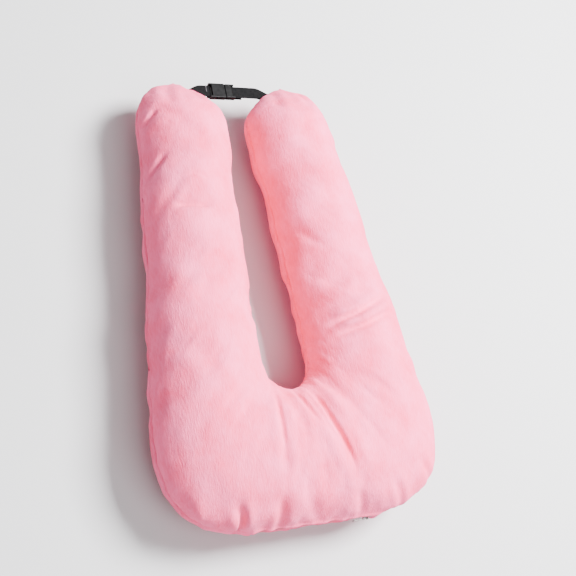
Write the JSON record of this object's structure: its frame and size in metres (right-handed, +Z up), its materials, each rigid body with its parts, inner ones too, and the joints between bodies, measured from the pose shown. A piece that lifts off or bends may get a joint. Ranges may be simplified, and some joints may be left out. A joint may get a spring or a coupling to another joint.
{
  "type": "u-shaped pillow",
  "caption": "Large U-shaped plush cushion with two long arms, a zipped cover over an inner fibre bag, and a black webbing strap with a side-release buckle between the arm tips.",
  "frame": {"origin": "on the resting surface, under the middle of the whole object's bounding box (z = 0 is the pillow's back face)", "axes": "+Z up out of the front face, +Y from the base towards the two arm tips, +X across to the right-hand arm"},
  "size_m": [0.4258, 0.7121, 0.124],
  "materials": {
    "plush": "short-pile pink plush, soft nap",
    "inner_fabric": "thin white non-woven fabric",
    "fibre": "white loose polyester fibre",
    "zip_tape": "pink woven zip tape",
    "zip_coil": "pink nylon coil",
    "zip_metal": "nickel-plated die casting",
    "webbing": "black polypropylene webbing",
    "thread": "black sewing thread",
    "buckle_plastic": "black moulded acetal, satin gloss",
    "label": "white satin ribbon, blank"
  },
  "bodies": {
    "cushion": {"cover_front": "plush", "cover_back": "plush", "inner_bag_front": "inner_fabric", "inner_bag_back": "inner_fabric", "fibre_filling": "fibre", "zip_tape_upper": "zip_tape", "zip_tape_lower": "zip_tape", "zip_coil_upper": "zip_coil", "zip_coil_lower": "zip_coil", "zip_stop_left": "zip_metal", "zip_stop_right": "zip_metal", "strap_left": "webbing", "strap_right": "webbing", "strap_bartack": "thread", "buckle_socket": "buckle_plastic", "care_label": "label"},
    "slider": {"zip_slider": "zip_metal"},
    "pull_tab": {"zip_pull": "zip_metal"},
    "plug": {"buckle_plug": "buckle_plastic"},
    "prong_upper": {"buckle_prong_upper": "buckle_plastic"},
    "prong_lower": {"buckle_prong_lower": "buckle_plastic"}
  },
  "joints": [
    {"name": "zip_slide", "type": "slide", "parent": "cushion", "child": "slider", "axis": [-1, 0, 0], "range_m": [0, 0.166]},
    {"name": "pull_tab_flip", "type": "hinge", "parent": "slider", "child": "pull_tab", "pos_m": [0.083, -0.3546, 0.056], "axis": [0, 0, 1], "range_deg": [0, 170]},
    {"name": "buckle_slide", "type": "slide", "parent": "cushion", "child": "plug", "axis": [1, 0, 0], "range_m": [0, 0.018], "deforming": ["strap_right", "buckle_prong_upper", "buckle_prong_lower"]},
    {"name": "prong_upper_squeeze", "type": "hinge", "parent": "plug", "child": "prong_upper", "pos_m": [-0.0063, 0.3497, 0.062], "axis": [0, 0, 1], "range_deg": [0, 8], "stiffness_Nm_per_rad": 0.3},
    {"name": "prong_lower_squeeze", "type": "hinge", "parent": "plug", "child": "prong_lower", "pos_m": [-0.0063, 0.3343, 0.062], "axis": [0, 0, -1], "range_deg": [0, 8], "stiffness_Nm_per_rad": 0.3}
  ]
}
